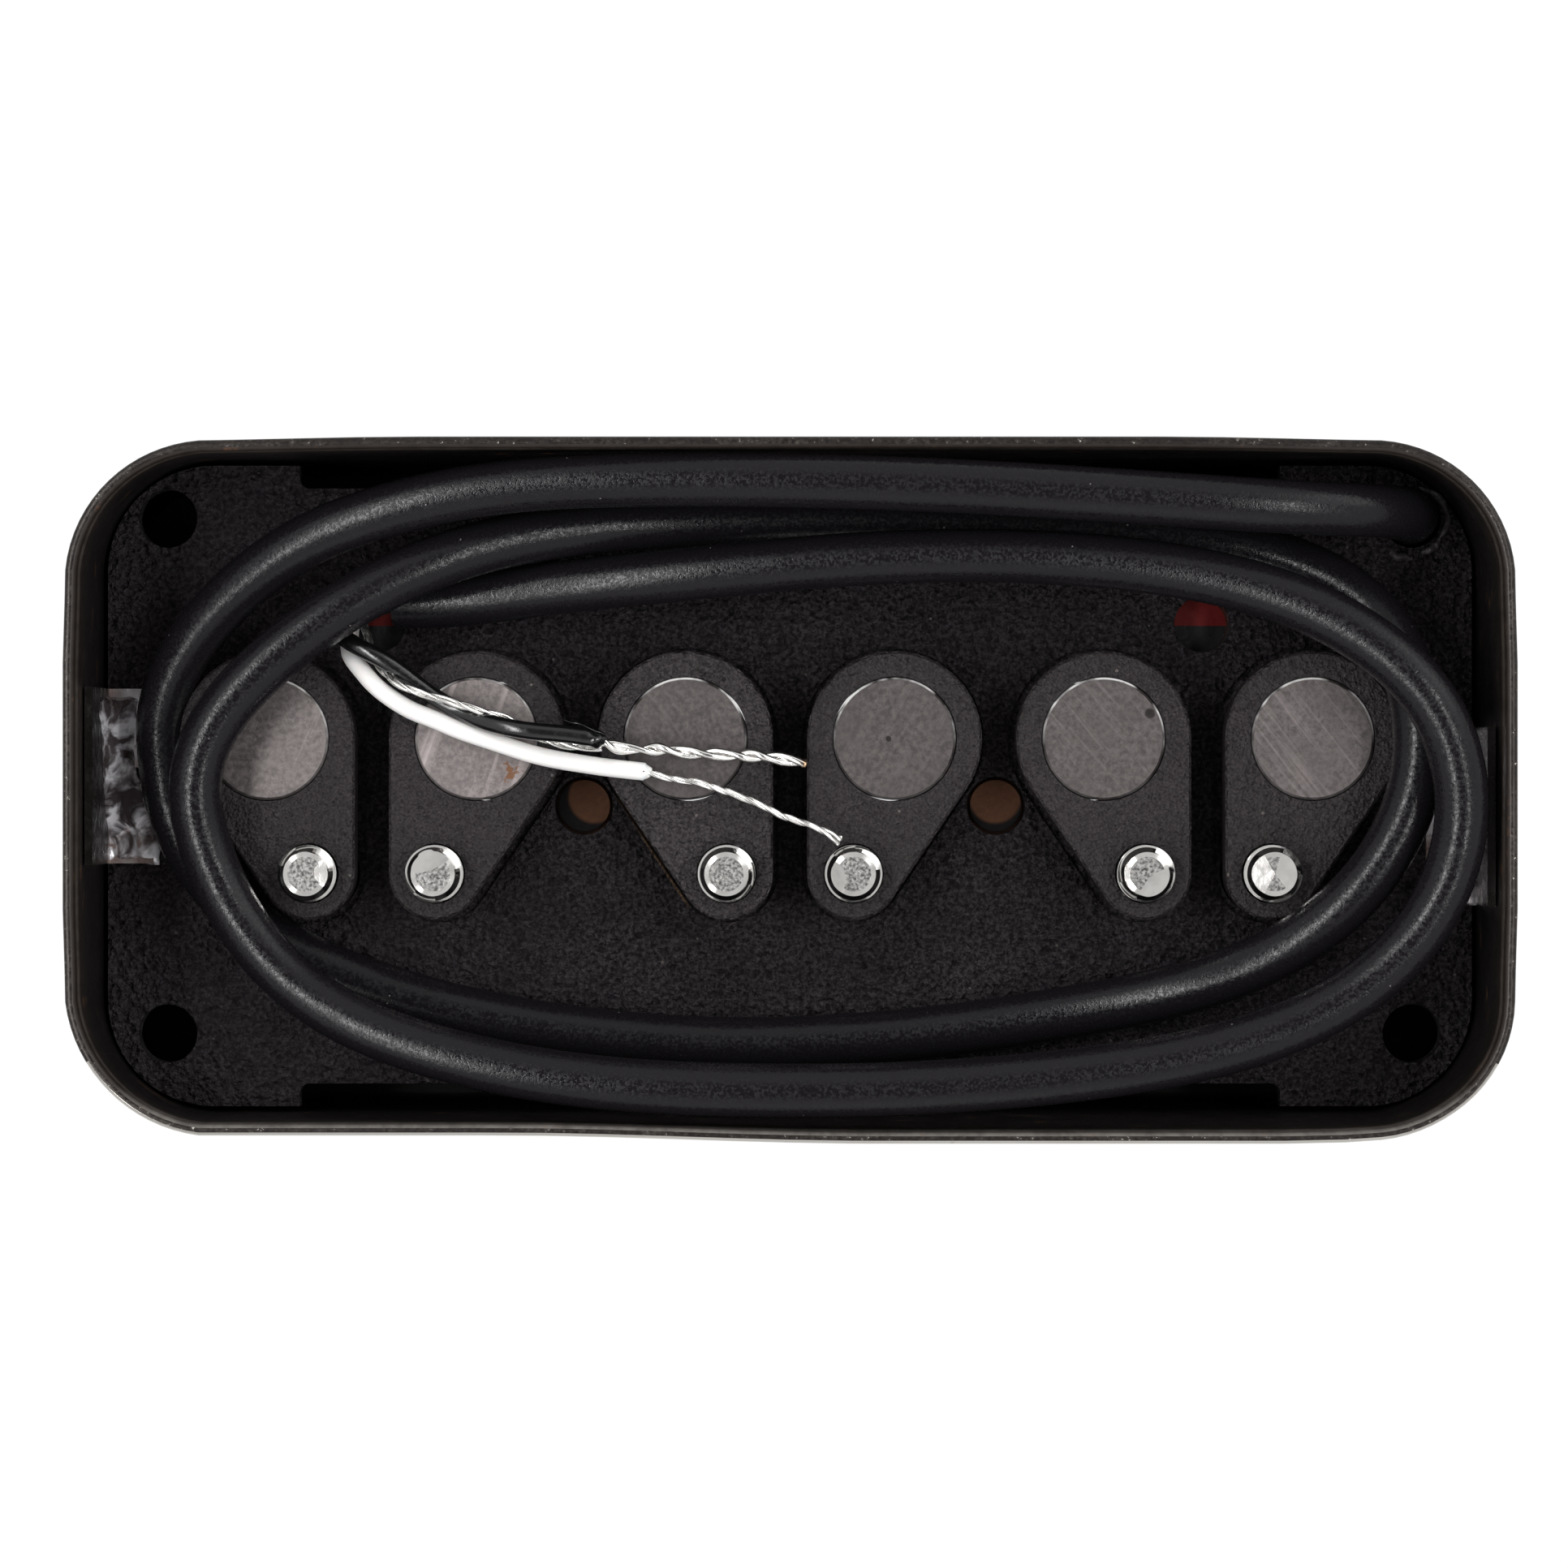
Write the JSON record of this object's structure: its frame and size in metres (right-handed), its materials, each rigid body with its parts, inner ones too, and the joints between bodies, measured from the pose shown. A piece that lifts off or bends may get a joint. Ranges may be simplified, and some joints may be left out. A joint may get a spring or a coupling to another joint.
{
  "type": "guitar pickup",
  "caption": "Single-coil guitar pickup in a drawn metal cover, open at the back, with height-adjustable rod magnets and a coiled cable.",
  "frame": {"origin": "centre of the cover's face, on the surface that the pickup lies on with its open back up", "axes": "+X along the row of magnets, +Y across the row, from the screws to the magnets, +Z from the face to the open back"},
  "size_m": [0.0706, 0.034, 0.0212],
  "materials": {
    "nickel_cover": "bright drawn nickel, satin at the rim",
    "black_base": "leathery moulded black",
    "black_bobbin": "smooth moulded black",
    "brown_fibre": "vulcanised fibre",
    "winding": "red enamelled copper wire",
    "red_tape": "red coil tape",
    "black_fibre": "black vulcanised fibre",
    "magnet_alloy": "ground cast magnet alloy",
    "nickel_steel": "nickel-plated steel",
    "spring_steel": "plain spring steel",
    "tinned_brass": "tinned brass strip",
    "solder": "bright wiped solder",
    "cable_jacket": "satin black jacket",
    "white_insulation": "white insulation",
    "black_insulation": "glossy black insulation",
    "tinned_copper": "tinned copper strands"
  },
  "bodies": {
    "housing": {"cover": "nickel_cover", "base_plate": "black_base", "bobbin": "black_bobbin", "fibre_flange": "brown_fibre", "fibre_pins": "brown_fibre", "coil_winding": "winding", "coil_tape": "red_tape", "spring_1": "spring_steel", "spring_2": "spring_steel", "spring_3": "spring_steel", "spring_4": "spring_steel", "spring_5": "spring_steel", "spring_6": "spring_steel", "ground_tab_left": "tinned_brass", "solder_left": "solder", "ground_tab_right": "tinned_brass", "solder_right": "solder", "cable": "cable_jacket", "white_wire": "white_insulation", "white_strands": "tinned_copper", "black_wire": "black_insulation", "drain_wire": "tinned_copper", "twisted_strands": "tinned_copper", "inner_leads": "black_insulation"},
    "magnet_carrier_1": {"carrier_1": "black_fibre", "magnet_1": "magnet_alloy"},
    "screw_1": {"height_screw_1": "nickel_steel"},
    "magnet_carrier_2": {"carrier_2": "black_fibre", "magnet_2": "magnet_alloy"},
    "screw_2": {"height_screw_2": "nickel_steel"},
    "magnet_carrier_3": {"carrier_3": "black_fibre", "magnet_3": "magnet_alloy"},
    "screw_3": {"height_screw_3": "nickel_steel"},
    "magnet_carrier_4": {"carrier_4": "black_fibre", "magnet_4": "magnet_alloy"},
    "screw_4": {"height_screw_4": "nickel_steel"},
    "magnet_carrier_5": {"carrier_5": "black_fibre", "magnet_5": "magnet_alloy"},
    "screw_5": {"height_screw_5": "nickel_steel"},
    "magnet_carrier_6": {"carrier_6": "black_fibre", "magnet_6": "magnet_alloy"},
    "screw_6": {"height_screw_6": "nickel_steel"}
  },
  "joints": [
    {"name": "screw_1_turn", "type": "hinge", "parent": "housing", "child": "screw_1", "pos_m": [-0.02395, -0.00435, 0.001], "axis": [0, 0, 1], "range_deg": [-300, 1150]},
    {"name": "magnet_1_slide", "type": "slide", "parent": "housing", "child": "magnet_carrier_1", "axis": [0, 0, 1], "range_m": [-0.002, 0.0005], "deforming": ["spring_1"]},
    {"name": "screw_2_turn", "type": "hinge", "parent": "housing", "child": "screw_2", "pos_m": [-0.01765, -0.00435, 0.001], "axis": [0, 0, 1], "range_deg": [-300, 1150]},
    {"name": "magnet_2_slide", "type": "slide", "parent": "housing", "child": "magnet_carrier_2", "axis": [0, 0, 1], "range_m": [-0.002, 0.0005], "deforming": ["spring_2"]},
    {"name": "screw_3_turn", "type": "hinge", "parent": "housing", "child": "screw_3", "pos_m": [-0.00315, -0.00435, 0.001], "axis": [0, 0, 1], "range_deg": [-300, 1150]},
    {"name": "magnet_3_slide", "type": "slide", "parent": "housing", "child": "magnet_carrier_3", "axis": [0, 0, 1], "range_m": [-0.002, 0.0005], "deforming": ["spring_3"]},
    {"name": "screw_4_turn", "type": "hinge", "parent": "housing", "child": "screw_4", "pos_m": [0.00315, -0.00435, 0.001], "axis": [0, 0, 1], "range_deg": [-300, 1150]},
    {"name": "magnet_4_slide", "type": "slide", "parent": "housing", "child": "magnet_carrier_4", "axis": [0, 0, 1], "range_m": [-0.002, 0.0005], "deforming": ["spring_4"]},
    {"name": "screw_5_turn", "type": "hinge", "parent": "housing", "child": "screw_5", "pos_m": [0.01765, -0.00435, 0.001], "axis": [0, 0, 1], "range_deg": [-300, 1150]},
    {"name": "magnet_5_slide", "type": "slide", "parent": "housing", "child": "magnet_carrier_5", "axis": [0, 0, 1], "range_m": [-0.002, 0.0005], "deforming": ["spring_5"]},
    {"name": "screw_6_turn", "type": "hinge", "parent": "housing", "child": "screw_6", "pos_m": [0.02395, -0.00435, 0.001], "axis": [0, 0, 1], "range_deg": [-300, 1150]},
    {"name": "magnet_6_slide", "type": "slide", "parent": "housing", "child": "magnet_carrier_6", "axis": [0, 0, 1], "range_m": [-0.002, 0.0005], "deforming": ["spring_6"]}
  ],
  "couplings": [
    {"joint": "screw_1_turn", "follows": "magnet_1_slide", "rad_per_m": -9894.8},
    {"joint": "screw_2_turn", "follows": "magnet_2_slide", "rad_per_m": -9894.8},
    {"joint": "screw_3_turn", "follows": "magnet_3_slide", "rad_per_m": -9894.8},
    {"joint": "screw_4_turn", "follows": "magnet_4_slide", "rad_per_m": -9894.8},
    {"joint": "screw_5_turn", "follows": "magnet_5_slide", "rad_per_m": -9894.8},
    {"joint": "screw_6_turn", "follows": "magnet_6_slide", "rad_per_m": -9894.8}
  ]
}
